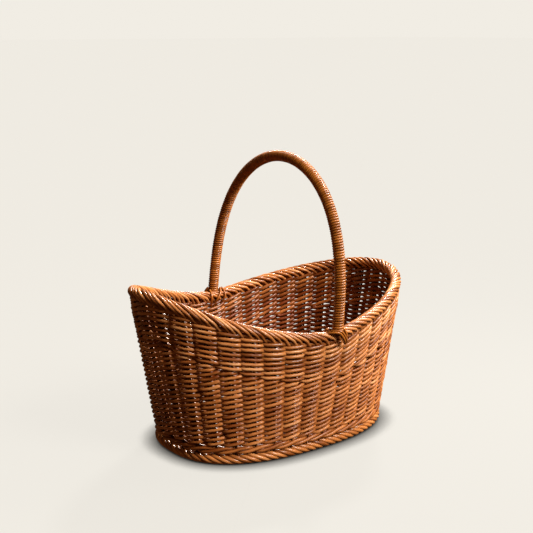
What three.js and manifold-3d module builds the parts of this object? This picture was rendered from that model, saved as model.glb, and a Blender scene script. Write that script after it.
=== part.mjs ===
// Oval willow market basket with a fixed bow handle.
// Millimetres, +Z up. The origin is the centre of the foot's underside, +X runs along the basket.
import * as THREE from "three";
import { mergeVertices } from "three/addons/utils/BufferGeometryUtils.js";
import Module from "manifold-3d";

const wasm = await Module();
wasm.setup();

// Driving dimensions.
const RIM = { halfLength: 189, halfWidth: 125, power: 1.9 };
const WALL_FOOT = { halfLength: 146, halfWidth: 95.5, power: 2.5 };
const DIP_HEIGHT = 148;
const LEFT_END = { height: 202, power: 1.85 };
const RIGHT_END = { height: 188, power: 1.15 };
const BACK_LEFT_LIFT = { height: 5, middle: 130, halfSpread: 45 };
const FOOT_HEIGHT = 13;
const FOOT_HALF_THICKNESS = 7.5;
const BORDER_HALF_HEIGHT = 6.5;
const BORDER_HALF_THICKNESS = 7;
const STAKE_COUNT = 36;
const STAKE_ROD_RADIUS = 1.8;
const STAKE_ROD_SPACING = 3.7;
const STAKE_TOP_GAP = 3;
const WEAVER_THICKNESS = 2.6;
const WEAVER_CLEARANCE = 1;
const ROW_GAP = 0.4;
const BOTTOM_WALE_HEIGHT = 10;
const TOP_WALE_HEIGHT = 24.5;
const LOWER_BAND_COUNT = 4;
const HANDLE = { halfSpan: 127, top: 347, sidePower: 2, topPower: 2.7, lean: 5.5 };
const HANDLE_ROD_RADIUS = 4.3;
const HANDLE_WRAP_INNER_RADIUS = 5.2;
const HANDLE_WRAP_RADIUS = 7;
const BASE_PLATE = { bottom: 4, thickness: 7 };
const BASE_STICK_RADIUS = 2.5;
const BASE_STICK_GROOVE_RADIUS = 2.9;

const WEAVER_SWING = STAKE_ROD_RADIUS + WEAVER_CLEARANCE + WEAVER_THICKNESS / 2;
const WALL_HALF_THICKNESS = WEAVER_SWING + WEAVER_THICKNESS / 2;
const HANDLE_LEAN = THREE.MathUtils.degToRad(HANDLE.lean);
const HALF_TURN = Math.PI;
const FULL_TURN = 2 * Math.PI;

const materials = {
  willow: willowMaterial(0xa8703a, 0.45),
  stake: willowMaterial(0x9a6432, 0.5),
  border: willowMaterial(0xb57a42, 0.4),
  handle: willowMaterial(0xa9622c, 0.38),
  base: willowMaterial(0x8a5527, 0.55),
};

function willowMaterial(color, roughness) {
  return new THREE.MeshStandardMaterial({ color, roughness, metalness: 0 });
}

// ---- plan and height of the wall ----

// A point of an oval between an ellipse (power 2) and a rectangle, at an angle from +X.
function ovalPoint(oval, angle) {
  const cosine = Math.cos(angle);
  const sine = Math.sin(angle);
  const total = Math.abs(cosine) ** oval.power + Math.abs(sine) ** oval.power;
  const reach = total ** (-1 / oval.power);
  return new THREE.Vector2(oval.halfLength * cosine * reach, oval.halfWidth * sine * reach);
}

// Height of the border's middle: lowest beside the handle and rising to both ends.
function rimHeight(angle) {
  const along = ovalPoint(RIM, angle).x / RIM.halfLength;
  const end = along < 0 ? LEFT_END : RIGHT_END;
  return DIP_HEIGHT + (end.height - DIP_HEIGHT) * Math.abs(along) ** end.power + backLeftLift(angle);
}

// The rim stands a little higher behind, between the handle and the left end.
function backLeftLift(angle) {
  const { height, middle, halfSpread } = BACK_LEFT_LIFT;
  const degrees = THREE.MathUtils.euclideanModulo(THREE.MathUtils.radToDeg(angle), 360);
  const away = Math.min(Math.abs(degrees - middle) / halfSpread, 1);
  return height * Math.cos((away * HALF_TURN) / 2) ** 2;
}

// Plan of the wall's middle where the wall has climbed this share of its height.
function wallPlan(angle, share) {
  return ovalPoint(WALL_FOOT, angle).lerp(ovalPoint(RIM, angle), share);
}

function wallOutward(angle, share) {
  const step = 0.001;
  const along = wallPlan(angle + step, share).sub(wallPlan(angle - step, share)).normalize();
  return new THREE.Vector2(along.y, -along.x);
}

// A point of the wall at a height, moved outward from the wall's middle.
function wallPoint(angle, height, outward) {
  const share = height / rimHeight(angle);
  const plan = wallPlan(angle, share).addScaledVector(wallOutward(angle, share), outward);
  return new THREE.Vector3(plan.x, plan.y, height);
}

class WallMiddle extends THREE.Curve {
  getPoint(turn) {
    const plan = wallPlan(turn * FULL_TURN, 0.5);
    return new THREE.Vector3(plan.x, plan.y, 0);
  }
}

const wallMiddle = new WallMiddle();
wallMiddle.arcLengthDivisions = 2000;

// The angle of a place counted in stakes; stake 0 stands at the +X end and the spacing is even.
function stakeAngle(place) {
  const turns = Math.floor(place / STAKE_COUNT);
  const rest = place / STAKE_COUNT - turns;
  return (wallMiddle.getUtoTmapping(rest) + turns) * FULL_TURN;
}

// ---- solids from rings of points ----

// Joins equal outlines into one closed skin: round a loop, or from end to end with flat caps.
function skinThrough(outlines, isLoop) {
  const sides = outlines[0].length;
  const positions = outlines.flat().flatMap((point) => point.toArray());
  const triangles = [];
  const joins = isLoop ? outlines.length : outlines.length - 1;
  for (let i = 0; i < joins; i++) {
    const next = (i + 1) % outlines.length;
    for (let side = 0; side < sides; side++) {
      const a = i * sides + side;
      const b = i * sides + ((side + 1) % sides);
      const c = next * sides + side;
      const d = next * sides + ((side + 1) % sides);
      triangles.push(a, c, b, b, c, d);
    }
  }
  if (!isLoop) {
    const last = (outlines.length - 1) * sides;
    for (let side = 1; side < sides - 1; side++) {
      triangles.push(0, side, side + 1);
      triangles.push(last, last + side + 1, last + side);
    }
  }
  const geometry = new THREE.BufferGeometry();
  geometry.setAttribute("position", new THREE.Float32BufferAttribute(positions, 3));
  geometry.setIndex(triangles);
  return geometry;
}

function solidFrom(geometry) {
  const plain = geometry.index ? geometry.clone() : geometry;
  plain.deleteAttribute("normal");
  plain.deleteAttribute("uv");
  const merged = mergeVertices(plain, 0.0001);
  const mesh = new wasm.Mesh({
    numProp: 3,
    vertProperties: new Float32Array(merged.attributes.position.array),
    triVerts: new Uint32Array(merged.index.array),
  });
  return new wasm.Manifold(mesh);
}

function geometryFrom(solid) {
  const mesh = solid.getMesh();
  const geometry = new THREE.BufferGeometry();
  geometry.setAttribute("position", new THREE.BufferAttribute(mesh.vertProperties, 3));
  geometry.setIndex(new THREE.BufferAttribute(mesh.triVerts, 1));
  return geometry;
}

// A regular outline whose corners lie at a radius.
function roundOutline(radius, sides) {
  const outline = new THREE.Path();
  for (let side = 0; side < sides; side++) {
    const angle = (side / sides) * FULL_TURN;
    const point = new THREE.Vector2(radius, 0).rotateAround(new THREE.Vector2(), angle);
    if (side === 0) outline.moveTo(point.x, point.y);
    else outline.lineTo(point.x, point.y);
  }
  outline.closePath();
  return outline;
}

function rodAlong(curve, radius, sides, steps) {
  const section = new THREE.Shape(roundOutline(radius, sides).getPoints());
  return new THREE.ExtrudeGeometry(section, { extrudePath: curve, steps });
}

// ---- wall: stakes, bands of weaving and wales ----

const group = new THREE.Group();

function addPiece(name, geometry, material) {
  const mesh = new THREE.Mesh(geometry, material);
  mesh.name = name;
  group.add(mesh);
  return mesh;
}

function numbered(name, index) {
  return `${name}_${String(index + 1).padStart(2, "0")}`;
}

// The joined outline of a stake and the bye-stake beside it.
function stakeOutline() {
  const outline = new THREE.Shape();
  const reach = STAKE_ROD_SPACING / 2;
  outline.absarc(reach, 0, STAKE_ROD_RADIUS, -HALF_TURN / 2, HALF_TURN / 2);
  outline.absarc(-reach, 0, STAKE_ROD_RADIUS, HALF_TURN / 2, 1.5 * HALF_TURN);
  return outline;
}

// A pair of straight rods leaning with the wall, from the foot border to the rim border.
function addStake(index) {
  const angle = stakeAngle(index);
  const low = wallPoint(angle, FOOT_HEIGHT + 2 * ROW_GAP, 0);
  const high = wallPoint(angle, rimHeight(angle) - BORDER_HALF_HEIGHT - STAKE_TOP_GAP, 0);
  const up = high.clone().sub(low).normalize();
  const geometry = new THREE.ExtrudeGeometry(stakeOutline(), {
    depth: low.distanceTo(high),
    curveSegments: 3,
    bevelEnabled: false,
  });
  const stake = addPiece(numbered("stake", index), geometry, materials.stake);
  const outward = wallOutward(angle, 0.5);
  const sideways = new THREE.Vector3(-outward.y, outward.x, 0).normalize();
  const across = new THREE.Vector3().crossVectors(up, sideways).normalize();
  sideways.crossVectors(across, up);
  stake.position.copy(low);
  stake.quaternion.setFromRotationMatrix(new THREE.Matrix4().makeBasis(sideways, across, up));
}

// Four corners of a band of weavers; above and below are its limits in height.
function bandOutline(angle, below, above, outward) {
  const inner = outward - WEAVER_THICKNESS / 2;
  const outer = outward + WEAVER_THICKNESS / 2;
  return [
    wallPoint(angle, below, inner),
    wallPoint(angle, below, outer),
    wallPoint(angle, above, outer),
    wallPoint(angle, above, inner),
  ];
}

// Weavers passing outside one stake and inside the next: flat over each stake, crossing between.
// strokeAt says on which side of a stake the band lies: +1 outside, -1 inside.
function wovenOutlines(firstStake, stakeTotal, limitsAt, strokeAt) {
  const flat = 0.25;
  const outlines = [];
  for (let stake = firstStake; stake < firstStake + stakeTotal; stake++) {
    for (const place of [stake - flat, stake + flat]) {
      const angle = stakeAngle(place);
      const [below, above] = limitsAt(angle);
      outlines.push(bandOutline(angle, below, above, strokeAt(stake) * WEAVER_SWING));
    }
  }
  return outlines;
}

function addRing(name, limitsAt, strokeAt, material) {
  const outlines = wovenOutlines(0, STAKE_COUNT, limitsAt, strokeAt);
  addPiece(name, skinThrough(outlines, true), material);
}

const plainStroke = (shift) => (stake) => ((stake + shift) % 2 === 0 ? 1 : -1);
const waleStroke = (shift) => (stake) => ((stake + shift) % 3 === 0 ? -1 : 1);

const weaveBottom = FOOT_HEIGHT + ROW_GAP + BOTTOM_WALE_HEIGHT;
const weaveTopAt = (angle) => rimHeight(angle) - BORDER_HALF_HEIGHT - ROW_GAP - TOP_WALE_HEIGHT;
const bandHeight = (weaveTopAt(HALF_TURN / 2) - weaveBottom) / (LOWER_BAND_COUNT + 1);
const packingBottom = weaveBottom + LOWER_BAND_COUNT * bandHeight;
const packingTopAt = (angle) => weaveTopAt(angle) - bandHeight;

// Level rounds from the bottom wale up.
function addLowerBands() {
  for (let row = 0; row < LOWER_BAND_COUNT; row++) {
    const below = weaveBottom + row * bandHeight + ROW_GAP;
    const limitsAt = () => [below, below + bandHeight - ROW_GAP];
    addRing(numbered("lower_weave", row), limitsAt, plainStroke(row), materials.willow);
  }
}

// Rounds that follow the curve of the rim.
function addUpperBand() {
  const limitsAt = (angle) => [packingTopAt(angle) + ROW_GAP, weaveTopAt(angle)];
  addRing("upper_weave", limitsAt, plainStroke(1), materials.willow);
}

// Short rows that fill the wall under a raised end, between the level and the curved rounds.
function addEndPacking(side, middleStake) {
  const leastHeight = 3;
  const below = packingBottom + ROW_GAP;
  let reach = 0;
  while (packingTopAt(stakeAngle(middleStake + reach + 1)) - below > leastHeight) reach += 1;
  const limitsAt = (angle) => [below, packingTopAt(angle)];
  const outlines = wovenOutlines(middleStake - reach, 2 * reach + 1, limitsAt, plainStroke(0));
  addPiece(`${side}_packing`, skinThrough(outlines, false), materials.willow);
}

function addWales() {
  const bottomLimits = () => [FOOT_HEIGHT + ROW_GAP, weaveBottom];
  addRing("bottom_wale", bottomLimits, waleStroke(0), materials.willow);
  for (let row = 0; row < 2; row++) {
    const limitsAt = (angle) => {
      const below = weaveTopAt(angle) + (row * TOP_WALE_HEIGHT) / 2 + ROW_GAP;
      return [below, below + TOP_WALE_HEIGHT / 2 - ROW_GAP];
    };
    addRing(numbered("top_wale", row), limitsAt, waleStroke(row + 1), materials.border);
  }
}

// ---- borders ----

function ringAngles() {
  const places = Array.from({ length: 2 * STAKE_COUNT }, (_, half) => half / 2 + 0.25);
  return places.map(stakeAngle);
}

// A braided foot, modelled as a ring with a flat underside and rounded shoulders.
function footGeometry() {
  const flat = FOOT_HALF_THICKNESS - 2.5;
  const middle = FOOT_HEIGHT / 2;
  const shoulder = FOOT_HALF_THICKNESS - 2;
  const corners = [
    [-flat, 0], [flat, 0], [FOOT_HALF_THICKNESS, middle],
    [shoulder, FOOT_HEIGHT], [-shoulder, FOOT_HEIGHT], [-FOOT_HALF_THICKNESS, middle],
  ];
  const outlines = ringAngles().map((angle) =>
    corners.map(([outward, height]) => {
      const plan = wallPlan(angle, 0).addScaledVector(wallOutward(angle, 0), outward);
      return new THREE.Vector3(plan.x, plan.y, height);
    }));
  return skinThrough(outlines, true);
}

function borderRing() {
  const sides = 8;
  const outlines = ringAngles().map((angle) =>
    Array.from({ length: sides }, (_, side) => {
      const turn = (side / sides) * FULL_TURN;
      const height = rimHeight(angle) + BORDER_HALF_HEIGHT * Math.sin(turn);
      const plan = ovalPoint(RIM, angle);
      plan.addScaledVector(wallOutward(angle, 1), BORDER_HALF_THICKNESS * Math.cos(turn));
      return new THREE.Vector3(plan.x, plan.y, height);
    }));
  return skinThrough(outlines, true);
}

// ---- handle ----

// The bow's middle line from the -Y foot to the +Y foot, leaning over towards +X.
// It starts and ends at a height above the middle of the border.
class HandleLine extends THREE.Curve {
  constructor(startHeight) {
    super();
    this.rise = HANDLE.top - DIP_HEIGHT;
    this.startAngle = Math.asin((startHeight / this.rise) ** (HANDLE.topPower / 2));
  }

  getPoint(share) {
    const angle = THREE.MathUtils.lerp(this.startAngle, HALF_TURN - this.startAngle, share);
    const cosine = Math.cos(angle);
    const across = -HANDLE.halfSpan * Math.sign(cosine) * Math.abs(cosine) ** (2 / HANDLE.sidePower);
    const up = this.rise * Math.max(Math.sin(angle), 0) ** (2 / HANDLE.topPower);
    return new THREE.Vector3(up * Math.sin(HANDLE_LEAN), across, DIP_HEIGHT + up * Math.cos(HANDLE_LEAN));
  }
}

function addHandle() {
  const sides = 8;
  const steps = 36;
  const rod = rodAlong(new HandleLine(0), HANDLE_ROD_RADIUS, sides, steps);
  addPiece("handle_rod", rod, materials.handle);

  const wrapLine = new HandleLine(BORDER_HALF_HEIGHT + 2.5);
  const section = new THREE.Shape(roundOutline(HANDLE_WRAP_RADIUS, sides).getPoints());
  section.holes.push(roundOutline(HANDLE_WRAP_INNER_RADIUS, sides));
  const wrap = new THREE.ExtrudeGeometry(section, { extrudePath: wrapLine, steps });
  addPiece("handle_wrapping", wrap, materials.handle);
}

// The rim border, bored for the two ends of the handle rod.
function addBorder() {
  const boreRadius = HANDLE_ROD_RADIUS + 0.4;
  let border = solidFrom(borderRing());
  for (const side of [-1, 1]) {
    const bore = new THREE.CylinderGeometry(boreRadius, boreRadius, 6 * BORDER_HALF_HEIGHT, 12);
    bore.rotateX(HALF_TURN / 2);
    bore.rotateY(HANDLE_LEAN);
    bore.translate(0, side * HANDLE.halfSpan, DIP_HEIGHT);
    border = border.subtract(solidFrom(bore));
  }
  addPiece("rim_border", geometryFrom(border), materials.border);
}

// Two crossed strands of cane that bind one foot of the handle to the border and the top wale.
function addLashing(name, footSide) {
  const strandRadius = 1.3;
  const off = strandRadius + 0.6;
  const beside = HANDLE_WRAP_RADIUS + off + 1;
  const lift = 1.5;
  const drop = 20;
  const overBorder = [180, 135, 90, 45, 0].map(THREE.MathUtils.degToRad);
  const strands = [-1, 1].map((hand) => {
    const place = (along, outward, up) =>
      new THREE.Vector3(hand * along, footSide * (RIM.halfWidth + outward), DIP_HEIGHT + up);
    const wallFace = WALL_HALF_THICKNESS + off;
    return new THREE.CatmullRomCurve3([
      place(beside, -wallFace - 5, -drop),
      ...overBorder.map((turn) => place(
        beside,
        (BORDER_HALF_THICKNESS + off) * Math.cos(turn),
        (BORDER_HALF_HEIGHT + off) * Math.sin(turn) + lift,
      )),
      place(0, wallFace + 1, -drop / 2),
      place(-beside, wallFace - 1, -drop),
    ]);
  });
  const bodies = strands.map((strand) => solidFrom(rodAlong(strand, strandRadius, 6, 24)));
  addPiece(name, geometryFrom(bodies[0].add(bodies[1])), materials.handle);
}

// ---- base ----

// Half of the plate's opening inside the foot at a distance from the plate's middle line.
function halfChord(oval, distance, alongX) {
  const across = alongX ? oval.halfWidth : oval.halfLength;
  const along = alongX ? oval.halfLength : oval.halfWidth;
  return along * (1 - (Math.abs(distance) / across) ** oval.power) ** (1 / oval.power);
}

function baseStick(length, offset, height, radius, alongX) {
  const geometry = new THREE.CylinderGeometry(radius, radius, length, 8);
  if (alongX) geometry.rotateZ(HALF_TURN / 2);
  geometry.translate(alongX ? 0 : offset, alongX ? offset : 0, height);
  return geometry;
}

function addBase() {
  const inset = FOOT_HALF_THICKNESS + 0.8;
  const oval = {
    halfLength: WALL_FOOT.halfLength - inset,
    halfWidth: WALL_FOOT.halfWidth - inset,
    power: WALL_FOOT.power,
  };
  const outlineSteps = 48;
  const corners = Array.from({ length: outlineSteps }, (_, step) =>
    ovalPoint(oval, (step / outlineSteps) * FULL_TURN));
  const plate = new THREE.ExtrudeGeometry(new THREE.Shape(corners), {
    depth: BASE_PLATE.thickness,
    bevelEnabled: false,
  });
  plate.translate(0, 0, BASE_PLATE.bottom);

  const lengthwise = { name: "long_base_stick", alongX: true, offsets: [-26, 0, 26] };
  const crosswise = { name: "cross_base_stick", alongX: false, offsets: [-84, -28, 28, 84] };
  lengthwise.height = BASE_PLATE.bottom + 0.5;
  crosswise.height = BASE_PLATE.bottom + BASE_PLATE.thickness - 0.5;
  let body = solidFrom(plate);
  for (const set of [lengthwise, crosswise]) {
    set.offsets.forEach((offset, index) => {
      const length = 2 * (halfChord(oval, offset, set.alongX) - 1);
      const stick = baseStick(length, offset, set.height, BASE_STICK_RADIUS, set.alongX);
      addPiece(numbered(set.name, index), stick, materials.base);
      const grooveLength = length + 20;
      const groove = baseStick(grooveLength, offset, set.height, BASE_STICK_GROOVE_RADIUS, set.alongX);
      body = body.subtract(solidFrom(groove));
    });
  }
  addPiece("base_weave", geometryFrom(body), materials.base);
}

for (let index = 0; index < STAKE_COUNT; index++) addStake(index);
addWales();
addLowerBands();
addUpperBand();
addEndPacking("right", 0);
addEndPacking("left", STAKE_COUNT / 2);
addPiece("foot_border", footGeometry(), materials.border);
addBorder();
addHandle();
addLashing("front_lashing", -1);
addLashing("back_lashing", 1);
addBase();

export default group;
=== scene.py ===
"""Woven willow market basket: its woven surface, materials, light and camera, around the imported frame."""
import math
from collections import namedtuple

import bpy
import numpy as np
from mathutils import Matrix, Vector


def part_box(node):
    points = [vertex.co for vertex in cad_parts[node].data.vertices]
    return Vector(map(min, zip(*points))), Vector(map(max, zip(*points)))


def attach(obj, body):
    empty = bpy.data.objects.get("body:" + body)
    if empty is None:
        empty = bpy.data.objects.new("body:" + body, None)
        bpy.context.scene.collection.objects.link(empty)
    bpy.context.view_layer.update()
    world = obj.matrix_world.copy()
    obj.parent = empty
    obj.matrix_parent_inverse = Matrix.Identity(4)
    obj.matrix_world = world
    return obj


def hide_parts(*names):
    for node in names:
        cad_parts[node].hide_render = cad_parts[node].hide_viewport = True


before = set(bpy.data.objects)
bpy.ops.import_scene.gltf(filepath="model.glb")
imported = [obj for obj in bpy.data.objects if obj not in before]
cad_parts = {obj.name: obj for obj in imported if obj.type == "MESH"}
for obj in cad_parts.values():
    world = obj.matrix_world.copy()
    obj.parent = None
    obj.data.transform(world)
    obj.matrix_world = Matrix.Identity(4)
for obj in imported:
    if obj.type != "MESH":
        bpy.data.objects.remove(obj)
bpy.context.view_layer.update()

FULL_TURN = 2 * math.pi
HALF_TURN = math.pi
UP = np.array([0.0, 0.0, 1.0])
dice = np.random.default_rng(20)

# ---- driving dimensions, in metres ----

Oval = namedtuple("Oval", "half_length half_width power")
End = namedtuple("End", "height power")
Finish = namedtuple("Finish", "dark middle light roughness coat")

STAKE_COUNT = sum(name.startswith("stake_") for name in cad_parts)
STAKE_ROD_RADIUS = 0.0016
STAKE_ROD_SPACING = 0.0034
STAKE_TOP_GAP = 0.003

STRAND_SIDES = 8
STRAND_END_TAPER = 0.7
STEPS_PER_STAKE = 12
# Painted shade: how much the tone of each strand is lowered on its hidden side, inside the basket and in
# the grooves between strands.
HIDDEN_SIDE_PAINTED_SHADE = 1.0

FLARE_EASE = 0.05
FLARE_START = 0.82
BACK_LEFT_LIFT = 0.005
BACK_LEFT_MIDDLE = math.radians(130)
BACK_LEFT_HALF_SPREAD = math.radians(45)

LEVEL_ROWS = 12
CURVED_ROWS = 4
PACKING_ROWS = {"left": 9, "right": 7}
ROW_STRAND_RADIUS = 0.0021
ROW_SWING = 0.0028
ROW_RISE = 0.36
TOP_WALE_ROWS = 4
TOP_WALE_PITCH = 0.0059
TOP_WALE_DROP = 0.0102
TOP_WALE_STRAND_RADIUS = 0.0023
TOP_WALE_SWING = 0.0031
BOTTOM_WALE_STRANDS = 3
BOTTOM_WALE_STRAND_RADIUS = 0.0023

BORDER_HALF_HEIGHT = 0.0065
BORDER_HALF_THICKNESS = 0.007
BORDER_INSET = 0.001
BORDER_STRAND_RADIUS = 0.00195
BORDER_CORE_RADIUS = 0.0026
FOOT_HALF_THICKNESS = 0.0075
FOOT_STRAND_RADIUS = 0.0025
FOOT_CORE_RADIUS = 0.003
PLAIT_STAKES_PER_TURN = 2.4

HANDLE_ROD_RADIUS = 0.0043
HANDLE_SIDE_POWER = 2.0
HANDLE_TOP_POWER = 2.7
HANDLE_LEAN = math.radians(5.5)
WRAP_STRAND_RADIUS = 0.0015
WRAP_REACH = 0.0055
WRAP_PITCH = 0.003
LASHING_RADIUS = 0.0016

BASE_WEAVE_INSET = 0.0105
BASE_WEAVE_PITCH = 0.0052
BASE_STRAND_RADIUS = 0.0016

rim_low, rim_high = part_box("rim_border")
foot_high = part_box("foot_border")[1]
wale_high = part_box("bottom_wale")[1]
rod_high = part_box("handle_rod")[1]
right_stake_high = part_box("stake_01")[1]
RIM = Oval(rim_high.x - BORDER_HALF_THICKNESS, rim_high.y - BORDER_HALF_THICKNESS, 1.9)
WALL_FOOT = Oval(foot_high.x - FOOT_HALF_THICKNESS, foot_high.y - FOOT_HALF_THICKNESS, 2.5)
FOOT_HEIGHT = foot_high.z
DIP_HEIGHT = rim_low.z + BORDER_HALF_HEIGHT
LEFT_END = End(rim_high.z - BORDER_HALF_HEIGHT, 1.85)
RIGHT_END = End(right_stake_high.z + STAKE_TOP_GAP + BORDER_HALF_HEIGHT, 1.15)
WEAVE_BOTTOM = wale_high.z


def unit(vectors):
    return vectors / np.linalg.norm(vectors, axis=-1, keepdims=True)


def smoothstep(share):
    share = np.clip(share, 0, 1)
    return share * share * (3 - 2 * share)


def lerp(start, end, share):
    return start + (end - start) * share


# ---- plan and height of the wall ----

def oval_point(oval, angle):
    """Points of an oval between an ellipse (power 2) and a rectangle, at angles from +X."""
    cosine = np.cos(angle)
    sine = np.sin(angle)
    reach = (np.abs(cosine) ** oval.power + np.abs(sine) ** oval.power) ** (-1 / oval.power)
    return np.stack([oval.half_length * cosine * reach, oval.half_width * sine * reach], axis=-1)


def rim_height(angle):
    """Height of the border's middle: lowest beside the handle, rising to both ends."""
    along = oval_point(RIM, angle)[..., 0] / RIM.half_length
    left = (LEFT_END.height - DIP_HEIGHT) * np.abs(along) ** LEFT_END.power
    right = (RIGHT_END.height - DIP_HEIGHT) * np.abs(along) ** RIGHT_END.power
    return DIP_HEIGHT + np.where(along < 0, left, right) + back_left_lift(angle)


def back_left_lift(angle):
    """The rim stands a little higher behind, between the handle and the left end."""
    away = np.abs(angle % FULL_TURN - BACK_LEFT_MIDDLE) / BACK_LEFT_HALF_SPREAD
    return BACK_LEFT_LIFT * np.cos(np.minimum(away, 1) * HALF_TURN / 2) ** 2


def wall_plan(angle, share):
    """Plan of the wall's middle where the wall has climbed this share of its height."""
    eased = share - FLARE_EASE * smoothstep((np.asarray(share) - FLARE_START) / (1 - FLARE_START))
    return lerp(oval_point(WALL_FOOT, angle), oval_point(RIM, angle), eased[..., None])


def wall_outward(angle, share):
    step = 0.001
    along = unit(wall_plan(angle + step, share) - wall_plan(angle - step, share))
    return np.stack([along[..., 1], -along[..., 0]], axis=-1)


def place_table():
    """Angles round the wall, and how much of its mid-height length lies before each."""
    angles = np.linspace(0, FULL_TURN, 2001)
    plan = wall_plan(angles, np.full(len(angles), 0.5))
    lengths = np.linalg.norm(np.diff(plan, axis=0), axis=1)
    shares = np.concatenate([[0], np.cumsum(lengths)]) / lengths.sum()
    return angles, shares


PLACE_ANGLES, PLACE_SHARES = place_table()


def stake_angle(place):
    """The angle of a place counted in stakes: stake 0 stands at the +X end, counting towards +Y."""
    turns = np.floor(place / STAKE_COUNT)
    rest = place / STAKE_COUNT - turns
    return np.interp(rest, PLACE_SHARES, PLACE_ANGLES) + turns * FULL_TURN


def flat_vectors(plan):
    return np.concatenate([plan, np.zeros_like(plan[..., :1])], axis=-1)


def wall_path(place, height, outward):
    """A path along the wall and the wall's outward direction along it."""
    angle = stake_angle(place)
    share = height / rim_height(angle)
    normal = wall_outward(angle, share)
    plan = wall_plan(angle, share) + normal * outward[:, None]
    return np.column_stack([plan, height]), flat_vectors(normal)


# ---- strands ----

class Strands:
    """Round strands swept along their paths and gathered into one mesh."""

    def __init__(self):
        self.points = []
        self.faces = []
        self.grain = []
        self.tone = []
        self.count = 0

    def add(self, path, reference, radius, sides=STRAND_SIDES, tone=None):
        """One strand; the reference directions point across the path and steady its twist."""
        path = np.asarray(path)
        radius = np.broadcast_to(radius, len(path)).astype(float)
        radius[[0, -1]] *= STRAND_END_TAPER
        tangent = unit(np.gradient(path, axis=0))
        side = unit(np.cross(tangent, reference))
        over = np.cross(side, tangent)
        turn = np.arange(sides) / sides * FULL_TURN
        round_side = np.cos(turn)[None, :, None] * side[:, None]
        round_over = np.sin(turn)[None, :, None] * over[:, None]
        rings = path[:, None] + radius[:, None, None] * (round_side + round_over)
        self.points.append(rings.reshape(-1, 3))
        self._add_faces(len(path), sides)
        self._add_grain(path, radius, turn, tone)
        self.count += len(path) * sides

    def _add_faces(self, rings, sides):
        ring = np.arange(rings - 1)[:, None] * sides + self.count
        here = np.arange(sides)
        after = (here + 1) % sides
        quads = np.stack([ring + here, ring + sides + here, ring + sides + after, ring + after], axis=-1)
        self.faces.extend(quads.reshape(-1, 4).tolist())
        last = self.count + (rings - 1) * sides
        self.faces.append((self.count + here).tolist())
        self.faces.append((last + here[::-1]).tolist())

    def _add_grain(self, path, radius, turn, tone):
        """Coordinates for the grain, across the strand in x and y and along it in z, and its tone.

        Its tone is the strand's random tone less a painted shade: darker on the side away from its
        reference direction, inside the basket and down in the grooves between strands.
        """
        steps = np.linalg.norm(np.diff(path, axis=0), axis=1)
        along = np.concatenate([[0], np.cumsum(steps)])
        across = radius[:, None, None] * np.stack([np.cos(turn), np.sin(turn)], axis=-1)
        length = np.broadcast_to(along[:, None, None], (len(path), len(turn), 1))
        grain = np.concatenate([across, length], axis=-1) + dice.uniform(0, 5, 3)
        self.grain.append(grain.reshape(-1, 3))
        strand_tone = dice.uniform() if tone is None else tone
        # Painted shade: the side of the strand away from its reference direction is painted darker.
        painted_shade_share = (1 - np.sin(turn)) / 2
        self.tone.append(np.tile(strand_tone - HIDDEN_SIDE_PAINTED_SHADE * painted_shade_share, len(path)))

    def build(self, name, node, material):
        """Makes the mesh object that stands for a CAD node."""
        mesh = bpy.data.meshes.new(name)
        mesh.from_pydata(np.concatenate(self.points), [], self.faces)
        mesh.shade_smooth()
        grain = mesh.attributes.new("grain", "FLOAT_VECTOR", "POINT")
        grain.data.foreach_set("vector", np.concatenate(self.grain).ravel())
        tone = mesh.attributes.new("tone", "FLOAT", "POINT")
        tone.data.foreach_set("value", np.concatenate(self.tone))
        mesh.materials.append(material)
        piece = bpy.data.objects.new(name, mesh)
        bpy.context.scene.collection.objects.link(piece)
        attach(piece, "root")
        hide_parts(node)
        return piece


def wander(place, size):
    """A smooth small unevenness along a strand."""
    total = np.zeros_like(place)
    for waves in (0.23, 0.61, 1.37):
        total += np.sin(place * waves * FULL_TURN + dice.uniform(0, FULL_TURN))
    return size * total / 3


def over_and_under(turn):
    """How far a weaver lies out (+1) or in (-1): level over a stake, crossing quickly between."""
    sharpness = 2.0
    return np.tanh(sharpness * np.cos(turn)) / math.tanh(sharpness)


def rise_and_fall(turn):
    """Height of a weaver within its round: level over a stake, climbing or diving at the crossing."""
    flatness = 0.6
    sine = np.sin(turn)
    return sine * np.abs(sine) ** flatness


# ---- rows of pairing ----

def packing_reach(side, layer):
    """How many stakes a short row covers on each side of its end's middle stake."""
    end = LEFT_END if side == "left" else RIGHT_END
    middle = STAKE_COUNT / 2 if side == "left" else 0
    share = (layer + 0.55) / PACKING_ROWS[side]
    needed = DIP_HEIGHT + (end.height - DIP_HEIGHT) * share
    reach = 0
    while rim_height(stake_angle(middle + reach + 1)) > needed:
        reach += 1
    return middle, reach


def packing_window(place, side, layer):
    """1 where a short row lies, falling to 0 past its last stake."""
    if layer >= PACKING_ROWS[side]:
        return np.zeros_like(place)
    fade = 1.3
    middle, reach = packing_reach(side, layer)
    away = np.abs((place - middle + STAKE_COUNT / 2) % STAKE_COUNT - STAKE_COUNT / 2)
    return smoothstep((reach + 1 - away) / fade)


def wale_middle(angle, row):
    """Height of a row of the top wale; row 0 is the highest."""
    return rim_height(angle) - TOP_WALE_DROP - row * TOP_WALE_PITCH


def row_edges(place):
    """Heights between the rows of pairing: level rows, short packing rows, then curved rows."""
    ones = np.ones_like(place)
    packing = [
        packing_window(place, "left", layer) + packing_window(place, "right", layer)
        for layer in range(max(PACKING_ROWS.values()))
    ]
    weights = np.array([ones] * LEVEL_ROWS + packing + [ones] * CURVED_ROWS)
    filled = np.concatenate([[np.zeros_like(place)], np.cumsum(weights, axis=0)]) / weights.sum(axis=0)
    top = wale_middle(stake_angle(place), TOP_WALE_ROWS - 0.5)
    return WEAVE_BOTTOM + (top - WEAVE_BOTTOM) * filled


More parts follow.
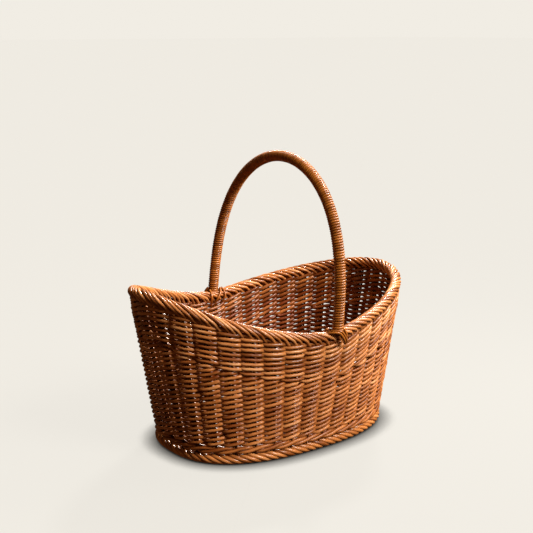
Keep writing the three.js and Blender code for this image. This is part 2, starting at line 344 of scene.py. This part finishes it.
def paired_row(strands, start, end, middle_at, thickness_at, radius, swing):
    """Two strands that twist round each other between the stakes, one outside each stake."""
    tuck_length = 0.5
    for phase in (0, HALF_TURN):
        steps = int((end - start) * STEPS_PER_STAKE) + 1
        place = np.linspace(start, end, steps)
        turn = HALF_TURN * place + phase
        size = radius * dice.uniform(0.93, 1.07)
        inward = 1 - smoothstep(np.minimum(place - start, end - place) / tuck_length)
        outward = swing * over_and_under(turn) + wander(place, 0.0003)
        outward = lerp(outward, -swing - 0.8 * radius, inward)
        thickness = thickness_at(place)
        rise = ROW_RISE * thickness * rise_and_fall(turn)
        height = middle_at(place) + rise + wander(place, 0.00025)
        width = np.minimum(size + wander(place, 0.00006), ROW_RISE * thickness + 0.0004)
        strands.add(*wall_path(place, height, outward), width)


def add_row(strands, index, start, end):
    def middle_at(place):
        edges = row_edges(place)
        return (edges[index] + edges[index + 1]) / 2

    def thickness_at(place):
        edges = row_edges(place)
        return edges[index + 1] - edges[index]

    paired_row(strands, start, end, middle_at, thickness_at, ROW_STRAND_RADIUS, ROW_SWING)


def full_round():
    """Start and end of a full round: both ends tucked in behind the same stake, side by side."""
    start = dice.integers(0, STAKE_COUNT) + 0.3
    return start, start + STAKE_COUNT + 0.4


def nodes_named(prefix):
    return sorted(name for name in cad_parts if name.startswith(prefix))


def add_full_rows(prefix, first_row, row_total, material):
    """Shares full rounds out over the CAD bands of that name."""
    nodes = nodes_named(prefix)
    per_node = row_total // len(nodes)
    for number, node in enumerate(nodes):
        strands = Strands()
        for row in range(per_node):
            add_row(strands, first_row + number * per_node + row, *full_round())
        strands.build("twined_" + node, node, material)


def add_packing(side, material):
    nodes = nodes_named(side + "_packing")
    total = PACKING_ROWS[side]
    per_node = math.ceil(total / len(nodes))
    for number, node in enumerate(nodes):
        strands = Strands()
        for layer in range(number * per_node, min(total, (number + 1) * per_node)):
            middle, reach = packing_reach(side, layer)
            add_row(strands, LEVEL_ROWS + layer, middle - reach - 0.5, middle + reach + 0.5)
        strands.build("twined_" + node, node, material)


def add_top_wale(material):
    nodes = nodes_named("top_wale")
    per_node = TOP_WALE_ROWS // len(nodes)
    for number, node in enumerate(nodes):
        strands = Strands()
        for row in range(per_node):
            level = TOP_WALE_ROWS - 1 - number * per_node - row
            paired_row(
                strands,
                *full_round(),
                lambda place, level=level: wale_middle(stake_angle(place), level),
                lambda place: np.full_like(place, TOP_WALE_PITCH),
                TOP_WALE_STRAND_RADIUS,
                TOP_WALE_SWING,
            )
        strands.build("twined_" + node, node, material)


def add_bottom_wale(material):
    """Three thick strands, each passing outside two stakes and inside one."""
    strands = Strands()
    middle = (FOOT_HEIGHT + WEAVE_BOTTOM) / 2
    inside_stake = BOTTOM_WALE_STRANDS / 2
    for strand in range(BOTTOM_WALE_STRANDS):
        start = dice.integers(0, 10) * BOTTOM_WALE_STRANDS + strand - inside_stake
        place = np.linspace(start, start + STAKE_COUNT, STAKE_COUNT * STEPS_PER_STAKE + 1)
        turn = (place - strand) / BOTTOM_WALE_STRANDS * FULL_TURN
        outward = ROW_SWING * np.tanh(2.2 * (np.cos(turn) + 0.25)) + wander(place, 0.0003)
        height = middle + 0.0029 * np.sin(turn) + wander(place, 0.0002)
        radius = BOTTOM_WALE_STRAND_RADIUS + wander(place, 0.0001)
        strands.add(*wall_path(place, height, outward), radius)
    strands.build("twined_bottom_wale", "bottom_wale", material)


# ---- stakes ----

def add_stakes(material):
    """Each stake is a rod with a bye-stake beside it, leaning with the wall."""
    steps = 16
    for index, node in enumerate(nodes_named("stake_")):
        strands = Strands()
        angle = stake_angle(np.full(steps, float(index)))
        rim = rim_height(angle)
        height = np.linspace(0.004, 1, steps) * (rim - 0.002)
        share = height / rim
        outward = wall_outward(angle, share)
        sideways = np.stack([-outward[:, 1], outward[:, 0]], axis=-1)
        for hand in (-1, 1):
            drift = hand * STAKE_ROD_SPACING / 2 + wander(height * 20, 0.0003)
            plan = wall_plan(angle, share) + sideways * drift[:, None]
            path = np.column_stack([plan, height])
            strands.add(path, flat_vectors(outward), STAKE_ROD_RADIUS)
        strands.build("rods_" + node, node, material)


# ---- borders ----

def rim_path(place, outward, up):
    angle = stake_angle(place)
    top = np.ones_like(place)
    normal = wall_outward(angle, top)
    plan = wall_plan(angle, top) + normal * (outward - BORDER_INSET)[:, None]
    return np.column_stack([plan, rim_height(angle) + up]), flat_vectors(normal)


def add_rim_border(material):
    """Groups of three strands that rise inside, pass over the top and dive down outside."""
    strands = Strands()
    per_stake = 3
    spacing = 0.30
    for group in range(STAKE_COUNT):
        for member in range(per_stake):
            add_border_strand(strands, group + member * spacing)
    add_border_core(strands)
    strands.build("plaited_rim_border", "rim_border", material)


def add_border_strand(strands, start):
    """One rod of the border: most of a turn round its core, both ends tucked in underneath."""
    first_turn = math.radians(250)
    last_turn = math.radians(-65)
    tuck_length = 0.14
    share = np.linspace(0, 1, 34)
    turn = lerp(first_turn, last_turn, share)
    advance = PLAIT_STAKES_PER_TURN * (first_turn - last_turn) / FULL_TURN
    place = start + dice.normal(0, 0.02) + share * advance
    swell = 1 + wander(place, 0.05)
    outward = (BORDER_HALF_THICKNESS - BORDER_STRAND_RADIUS) * swell * np.cos(turn)
    up = (BORDER_HALF_HEIGHT - BORDER_STRAND_RADIUS) * swell * np.sin(turn)
    tuck = 1 - smoothstep(np.minimum(share, 1 - share) / tuck_length)
    outward = lerp(outward, np.sign(np.cos(turn)) * 0.0015, tuck)
    up = lerp(up, -0.0085, tuck)
    radius = BORDER_STRAND_RADIUS * dice.uniform(0.93, 1.06)
    path, normal = rim_path(place, outward, up)
    strands.add(path, away_from_core(normal, turn), radius)


def away_from_core(normal, turn):
    return normal * np.cos(turn)[:, None] + UP * np.sin(turn)[:, None]


def add_border_core(strands):
    """The rods that the border is plaited round."""
    steps = STAKE_COUNT * 4
    place = np.linspace(0, STAKE_COUNT - 0.05, steps)
    for outward, up in ((0.0022, 0.0), (-0.0022, 0.0), (0.001, -0.0062)):
        path, normal = rim_path(place, np.full(steps, outward), np.full(steps, up))
        strands.add(path, normal, BORDER_CORE_RADIUS, tone=0.1)


def add_foot_border(material):
    """Five strands laid like a rope round the foot, sloping the other way from the wale."""
    strands = Strands()
    strand_total = 5
    spacing = PLAIT_STAKES_PER_TURN / strand_total
    half_width = FOOT_HALF_THICKNESS - FOOT_STRAND_RADIUS
    half_height = FOOT_HEIGHT / 2 - FOOT_STRAND_RADIUS
    for strand in range(strand_total):
        start = dice.integers(0, 15) * PLAIT_STAKES_PER_TURN + strand * spacing
        place = np.linspace(start, start + STAKE_COUNT, STAKE_COUNT * STEPS_PER_STAKE)
        phase = (place - strand * spacing) / PLAIT_STAKES_PER_TURN * FULL_TURN
        turn = HALF_TURN - phase - 0.2 * np.sin(phase)
        outward = half_width * np.cos(turn) + wander(place, 0.0002)
        height = FOOT_HEIGHT / 2 + half_height * np.sin(turn)
        path, normal = foot_path(place, outward, height)
        strands.add(path, away_from_core(normal, turn), FOOT_STRAND_RADIUS)
    place = np.linspace(0, STAKE_COUNT - 0.05, STAKE_COUNT * 4)
    path, normal = foot_path(place, np.zeros_like(place), np.full_like(place, FOOT_HEIGHT / 2))
    strands.add(path, normal, FOOT_CORE_RADIUS, tone=0.1)
    strands.build("plaited_foot_border", "foot_border", material)


def foot_path(place, outward, height):
    angle = stake_angle(place)
    normal = wall_outward(angle, np.zeros_like(place))
    plan = oval_point(WALL_FOOT, angle) + normal * outward[:, None]
    return np.column_stack([plan, height]), flat_vectors(normal)


# ---- handle ----

HANDLE_HALF_SPAN = rod_high.y - HANDLE_ROD_RADIUS
HANDLE_RISE = (rod_high.z - HANDLE_ROD_RADIUS - DIP_HEIGHT) / math.cos(HANDLE_LEAN)
BOW_NORMAL = np.array([math.cos(HANDLE_LEAN), 0, -math.sin(HANDLE_LEAN)])


def handle_point(angle):
    """The bow's middle line from the -Y foot (angle 0) to the +Y foot, leaning over towards +X."""
    cosine = np.cos(angle)
    across = -HANDLE_HALF_SPAN * np.sign(cosine) * np.abs(cosine) ** (2 / HANDLE_SIDE_POWER)
    up = HANDLE_RISE * np.abs(np.sin(angle)) ** (2 / HANDLE_TOP_POWER)
    height = DIP_HEIGHT + up * math.cos(HANDLE_LEAN)
    return np.stack([up * math.sin(HANDLE_LEAN), across, height], axis=-1)


def handle_line(start_height, spacing):
    """Evenly spaced points of the bow, from one foot's start height to the other's."""
    start = math.asin((start_height / HANDLE_RISE) ** (HANDLE_TOP_POWER / 2))
    fine = handle_point(np.linspace(start, HALF_TURN - start, 4000))
    lengths = np.concatenate([[0], np.cumsum(np.linalg.norm(np.diff(fine, axis=0), axis=1))])
    wanted = np.linspace(0, lengths[-1], int(lengths[-1] / spacing))
    line = np.column_stack([np.interp(wanted, lengths, fine[:, axis]) for axis in range(3)])
    return line, wanted


def add_handle(rod_material, wrap_material):
    rod = Strands()
    line, _ = handle_line(0.0005, 0.006)
    rod.add(line, np.broadcast_to(BOW_NORMAL, line.shape), HANDLE_ROD_RADIUS, sides=12)
    rod.build("bent_handle_rod", "handle_rod", rod_material)
    add_wrapping(wrap_material)


def add_wrapping(material):
    """One long strand of cane wound round the rod, each turn against the last."""
    steps_per_turn = 16
    line, along = handle_line(BORDER_HALF_HEIGHT, WRAP_PITCH / steps_per_turn)
    turn = along / WRAP_PITCH * FULL_TURN
    tangent = unit(np.gradient(line, axis=0))
    across = unit(np.cross(tangent, BOW_NORMAL))
    outward = BOW_NORMAL * np.cos(turn)[:, None] + across * np.sin(turn)[:, None]
    reach = WRAP_REACH + wander(along * 40, 0.00012)
    wrap = Strands()
    wrap.add(line + outward * reach[:, None], outward, WRAP_STRAND_RADIUS)
    wrap.build("cane_handle_wrapping", "handle_wrapping", material)


def smooth_path(points, steps):
    """A smooth curve through points (Catmull-Rom)."""
    points = np.asarray(points, float)
    padded = np.concatenate([[2 * points[0] - points[1]], points, [2 * points[-1] - points[-2]]])
    spans = len(points) - 1
    position = np.linspace(0, spans, steps)
    span = np.minimum(position.astype(int), spans - 1)
    share = (position - span)[:, None]
    before, start, end, after = (padded[span + offset] for offset in range(4))
    slope_start = (end - before) / 2
    slope_end = (after - start) / 2
    square = share * share
    cube = square * share
    return (
        (2 * cube - 3 * square + 1) * start
        + (cube - 2 * square + share) * slope_start
        + (3 * square - 2 * cube) * end
        + (cube - square) * slope_end
    )


# Strands of a lashing: along the border, outward and up, in millimetres from the handle foot.
LASHING_ARCH = [
    (-13, -4, 4), (-9.5, 3, 6.6), (-5, 7, 6.8), (-1.5, 8, 5.2), (2, 8, 1), (6, 7, -4.6), (8.5, 5, -9),
]
LASHING_BESIDE = [(6.5, 1, 11), (9.5, 2.5, 7), (11.5, 3.5, 1), (11.5, 1, -5)]
LASHING_FAN = [
    [(9, -6, 9), (9.5, -11, 4.5), (10, -13, -1), (10, -11, -8), (9.5, -9, -13)],
    [(-7.5, -6, 10), (-5, -11, 4.5), (0, -13, -2), (3, -11, -8), (5, -9, -13)],
    [(-10, -5, 10), (-11.5, -10, 5.5), (-11, -13, -1), (-8, -12, -7), (-7.5, -10, -10)],
]
SECOND_ARCH_SHIFT = 0.0029


def add_lashing(node, foot_side, material):
    """Cane that binds one foot of the handle: a double arch before the leg, a fan of three inside."""
    strands = Strands()
    bind(strands, LASHING_ARCH, foot_side)
    bind(strands, LASHING_ARCH, foot_side, SECOND_ARCH_SHIFT)
    bind(strands, LASHING_BESIDE, foot_side)
    for strand in LASHING_FAN:
        bind(strands, strand, foot_side)
    strands.build("cane_" + node, node, material)


def bind(strands, points, foot_side, shift=0.0):
    """One strand of a lashing; the shift lays a second strand beside and above the first."""
    path = [
        (
            -foot_side * (along / 1000 + 0.8 * shift),
            foot_side * (HANDLE_HALF_SPAN + outward / 1000),
            DIP_HEIGHT + up / 1000 + 0.6 * shift,
        )
        for along, outward, up in points
    ]
    add_cane(strands, path, LASHING_RADIUS)


def add_cane(strands, points, radius):
    path = smooth_path(points, 8 * len(points))
    middle = np.array([0, path[:, 1].mean(), path[:, 2].mean() - 0.02])
    strands.add(path, unit(path - middle), radius)


# ---- base ----

def add_base(stick_material, weave_material):
    for node in nodes_named("long_base_stick") + nodes_named("cross_base_stick"):
        low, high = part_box(node)
        middle = (low + high) / 2
        half = (high - low) / 2
        along = Vector((half.x, 0, 0)) if half.x > half.y else Vector((0, half.y, 0))
        shares = np.linspace(-1, 1, 24)
        path = np.array([middle + along * share for share in shares])
        stick = Strands()
        stick.add(path, np.broadcast_to(UP, path.shape), half.z, sides=12)
        stick.build("rod_" + node, node, stick_material)
    add_base_weave(weave_material)


def add_base_weave(material):
    """Paired rounds from the wall towards the middle of the floor."""
    strands = Strands()
    low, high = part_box("base_weave")
    middle = (low.z + high.z) / 2
    rounds = int((WALL_FOOT.half_width - BASE_WEAVE_INSET) / BASE_WEAVE_PITCH)
    for number in range(rounds):
        shrink = BASE_WEAVE_INSET + number * BASE_WEAVE_PITCH
        oval = Oval(WALL_FOOT.half_length - shrink, WALL_FOOT.half_width - shrink, WALL_FOOT.power)
        for phase in (0, HALF_TURN):
            path = base_round(oval, phase, middle)
            strands.add(path, np.broadcast_to(UP, path.shape), BASE_STRAND_RADIUS, sides=6)
    strands.build("twined_base_weave", "base_weave", material)


def base_round(oval, phase, middle):
    """One strand of a round of the base, going over and under from stake to stake."""
    place = np.linspace(0, STAKE_COUNT - 0.02, STAKE_COUNT * 8)
    angle = stake_angle(place)
    turn = HALF_TURN * place + phase
    outward = wall_outward(angle, np.zeros_like(place))
    sway = BASE_WEAVE_PITCH / 4 * np.sin(turn)
    plan = oval_point(oval, angle) + outward * sway[:, None]
    return np.column_stack([plan, middle + 0.0018 * np.cos(turn)])


# ---- materials ----

class Tree:
    """A new material and its nodes."""

    def __init__(self, name):
        self.material = bpy.data.materials.new(name)
        self.material.use_nodes = True
        self.nodes = self.material.node_tree.nodes
        self.link = self.material.node_tree.links.new
        self.shader = self.nodes["Principled BSDF"]

    def node(self, kind, **inputs):
        made = self.nodes.new("ShaderNode" + kind)
        for key, value in inputs.items():
            made.inputs[key.replace("_", " ")].default_value = value
        return made

    def calculate(self, operation, *terms):
        """A Math node's result; each term is a number or another node's output."""
        made = self.node("Math")
        made.operation = operation
        for socket, term in zip(made.inputs, terms):
            if isinstance(term, (int, float)):
                socket.default_value = term
            else:
                self.link(term, socket)
        return made.outputs[0]

    def attribute(self, name, output):
        made = self.node("Attribute")
        made.attribute_name = name
        return made.outputs[output]

    def stretched_noise(self, across, along):
        """Noise drawn out along each strand, by how many waves a metre has across and along it."""
        mapping = self.node("Mapping", Scale=(across, across, along))
        self.link(self.attribute("grain", "Vector"), mapping.inputs["Vector"])
        noise = self.node("TexNoise", Scale=1.0, Detail=3, Roughness=0.6)
        self.link(mapping.outputs["Vector"], noise.inputs["Vector"])
        return noise.outputs["Fac"]

    def colour_ramp(self, value, finish):
        ramp = self.node("ValToRGB")
        colours = ramp.color_ramp.elements
        colours[0].position = 0.05
        colours[0].color = (*finish.dark, 1)
        colours[1].position = 0.95
        colours[1].color = (*finish.light, 1)
        colours.new(0.5).color = (*finish.middle, 1)
        self.link(value, ramp.inputs["Fac"])
        return ramp.outputs["Color"]


def willow_material(name, finish):
    """Varnished willow: tone per strand, fine fibres and darker blotches along the rod."""
    tree = Tree(name)
    shader = tree.shader
    fibres = tree.stretched_noise(1500, 60)
    blotches = tree.stretched_noise(120, 28)

    # Painted shade: the strand attribute read here is lowered on each strand's hidden side, inside the
    # basket and in the grooves, so the ramp paints those sides towards its dark colour.
    painted_shade_and_tone = tree.calculate("MULTIPLY_ADD", tree.attribute("tone", "Fac"), 0.42, -0.6)
    blotched = tree.calculate("MULTIPLY_ADD", blotches, 0.9, painted_shade_and_tone)
    shade = tree.calculate("MULTIPLY_ADD", fibres, 0.7, blotched)
    tree.link(tree.colour_ramp(shade, finish), shader.inputs["Base Color"])

    gloss = tree.node("MapRange", To_Min=finish.roughness - 0.1, To_Max=finish.roughness + 0.14)
    tree.link(blotches, gloss.inputs["Value"])
    tree.link(gloss.outputs["Result"], shader.inputs["Roughness"])
    bump = tree.node("Bump", Strength=0.35, Distance=0.0003)
    tree.link(fibres, bump.inputs["Height"])
    tree.link(bump.outputs["Normal"], shader.inputs["Normal"])
    shader.inputs["Coat Weight"].default_value = finish.coat
    shader.inputs["Coat Roughness"].default_value = 0.18
    shader.inputs["Specular IOR Level"].default_value = 0.2
    return tree.material


FINISHES = {
    "willow_weave": Finish((0.12, 0.022, 0.0015), (0.42, 0.142, 0.033), (0.67, 0.365, 0.16), 0.42, 0.12),
    # The stakes are painted nearly black: painted shade for the dark gaps between the rows, where the
    # stakes show.
    "willow_stake": Finish((0.02, 0.005, 0.001), (0.06, 0.015, 0.002), (0.15, 0.04, 0.007), 0.5, 0.0),
    "willow_border": Finish((0.12, 0.026, 0.003), (0.44, 0.158, 0.04), (0.69, 0.39, 0.18), 0.36, 0.25),
    "handle_cane": Finish((0.13, 0.032, 0.003), (0.43, 0.14, 0.02), (0.60, 0.26, 0.06), 0.32, 0.3),
    "willow_base": Finish((0.08, 0.018, 0.003), (0.25, 0.075, 0.012), (0.42, 0.16, 0.035), 0.5, 0.1),
}


# ---- stage, light and camera ----

BACKDROP = (0.88, 0.845, 0.775)
FLOOR_COLOUR = (0.03, 0.03, 0.029)
FLOOR_GLOW = 0.895
FLOOR_HALF_SIZE = 40
# Reach and depth of the painted contact shadow on the floor.
CONTACT_SHADE_REACH = 0.025
CONTACT_SHADE_DEPTH = 2.2
FILL_COLOUR = (1.0, 0.5, 0.2)
FILL_STRENGTH = 0.11
LIT_POINT = Vector((0, 0, 0.12))


def add_floor():
    half = FLOOR_HALF_SIZE
    corners = [(-half, -half, 0), (half, -half, 0), (half, half, 0), (-half, half, 0)]
    mesh = bpy.data.meshes.new("floor")
    mesh.from_pydata(corners, [], [(0, 1, 2, 3)])
    mesh.materials.append(floor_material())
    floor = bpy.data.objects.new("floor", mesh)
    bpy.context.scene.collection.objects.link(floor)
    floor.visible_diffuse = False
    floor.visible_glossy = False


def floor_material():
    """A pale surface that glows evenly and darkens softly where the basket stands on it."""
    tree = Tree("pale_floor")
    # Painted contact shadow: an ambient occlusion node darkens the floor's glow near the basket.
    painted_contact_shadow = tree.node("AmbientOcclusion", Distance=CONTACT_SHADE_REACH)
    painted_contact_shadow.samples = 16
    deepened = tree.calculate("POWER", painted_contact_shadow.outputs["AO"], CONTACT_SHADE_DEPTH)
    glow = tree.calculate("MULTIPLY", deepened, FLOOR_GLOW)
    shader = tree.shader
    shader.inputs["Base Color"].default_value = (*FLOOR_COLOUR, 1)
    shader.inputs["Roughness"].default_value = 1
    shader.inputs["Specular IOR Level"].default_value = 0
    shader.inputs["Emission Color"].default_value = (*BACKDROP, 1)
    tree.link(glow, shader.inputs["Emission Strength"])
    return tree.material


def add_world():
    """A dim warm fill; the camera sees the pale backdrop colour."""
    world = bpy.data.worlds.new("studio")
    bpy.context.scene.world = world
    world.use_nodes = True
    nodes = world.node_tree.nodes
    link = world.node_tree.links.new
    nodes.clear()
    seen = nodes.new("ShaderNodeBackground")
    seen.inputs["Color"].default_value = (*BACKDROP, 1)
    fill = nodes.new("ShaderNodeBackground")
    fill.inputs["Color"].default_value = (*FILL_COLOUR, 1)
    fill.inputs["Strength"].default_value = FILL_STRENGTH
    path = nodes.new("ShaderNodeLightPath")
    mix = nodes.new("ShaderNodeMixShader")
    output = nodes.new("ShaderNodeOutputWorld")
    link(path.outputs["Is Camera Ray"], mix.inputs["Fac"])
    link(fill.outputs[0], mix.inputs[1])
    link(seen.outputs[0], mix.inputs[2])
    link(mix.outputs[0], output.inputs["Surface"])


def direction_from(azimuth, elevation):
    """The unit vector from the object towards a viewer or lamp.

    Azimuth 0 is in front of the -Y side, 90 on the +X side; both angles are in degrees.
    """
    turn = math.radians(azimuth)
    rise = math.radians(elevation)
    return Vector((math.sin(turn) * math.cos(rise), -math.cos(turn) * math.cos(rise), math.sin(rise)))


def add_lamp(name, kind, azimuth, elevation, distance, strength, colour):
    """A lamp that the camera doesn't see, aimed at the object."""
    data = bpy.data.lights.new(name, kind)
    data.energy = strength
    data.color = colour
    lamp = bpy.data.objects.new(name, data)
    towards = direction_from(azimuth, elevation)
    lamp.location = LIT_POINT + towards * distance
    lamp.rotation_euler = towards.to_track_quat("Z", "Y").to_euler()
    lamp.visible_camera = False
    bpy.context.scene.collection.objects.link(lamp)
    return data


def add_sun(name, azimuth, elevation, strength, softness, colour):
    data = add_lamp(name, "SUN", azimuth, elevation, 1, strength, colour)
    data.angle = math.radians(softness)


def add_softbox(name, azimuth, elevation, distance, size, power, colour):
    """A near square lamp, so the side towards it is much brighter than the far side."""
    data = add_lamp(name, "AREA", azimuth, elevation, distance, power, colour)
    data.size = size


def add_lights():
    """Daylight from the right, and a weak warm lamp for the light that bounces about inside."""
    add_sun("front_soft", 20, 38, 5.2, 22, (1.0, 0.94, 0.86))
    add_sun("rim_behind", 128, 42, 5.5, 8, (1.0, 0.98, 0.95))
    add_sun("top_soft", 60, 78, 1.0, 40, (1.0, 0.96, 0.9))
    add_softbox("key_right", 68, 42, 0.75, 0.3, 7.5, (1.0, 0.95, 0.88))
    add_softbox("bounce_inside", -90, 20, 0.05, 0.12, 0.09, (1.0, 0.55, 0.25))


def add_camera():
    distance = 1.334
    target = Vector((-0.0061, 0, 0.2103))
    back = direction_from(-37.55, 12.58)
    data = bpy.data.cameras.new("camera")
    data.lens = 72.5
    data.sensor_width = 36
    data.clip_start = 0.01
    data.clip_end = 200
    camera = bpy.data.objects.new("camera", data)
    camera.location = target + back * distance
    camera.rotation_euler = back.to_track_quat("Z", "Y").to_euler()
    bpy.context.scene.collection.objects.link(camera)
    bpy.context.scene.camera = camera


def add_basket():
    materials = {name: willow_material(name, finish) for name, finish in FINISHES.items()}
    first_curved_row = LEVEL_ROWS + max(PACKING_ROWS.values())
    add_stakes(materials["willow_stake"])
    add_bottom_wale(materials["willow_weave"])
    add_full_rows("lower_weave", 0, LEVEL_ROWS, materials["willow_weave"])
    add_packing("left", materials["willow_weave"])
    add_packing("right", materials["willow_weave"])
    add_full_rows("upper_weave", first_curved_row, CURVED_ROWS, materials["willow_weave"])
    add_top_wale(materials["willow_border"])
    add_rim_border(materials["willow_border"])
    add_foot_border(materials["willow_border"])
    add_handle(materials["willow_base"], materials["handle_cane"])
    add_lashing("front_lashing", -1, materials["handle_cane"])
    add_lashing("back_lashing", 1, materials["handle_cane"])
    add_base(materials["willow_base"], materials["willow_base"])


bpy.context.scene.view_settings.view_transform = "Standard"
add_camera()
add_floor()
add_world()
add_lights()
add_basket()
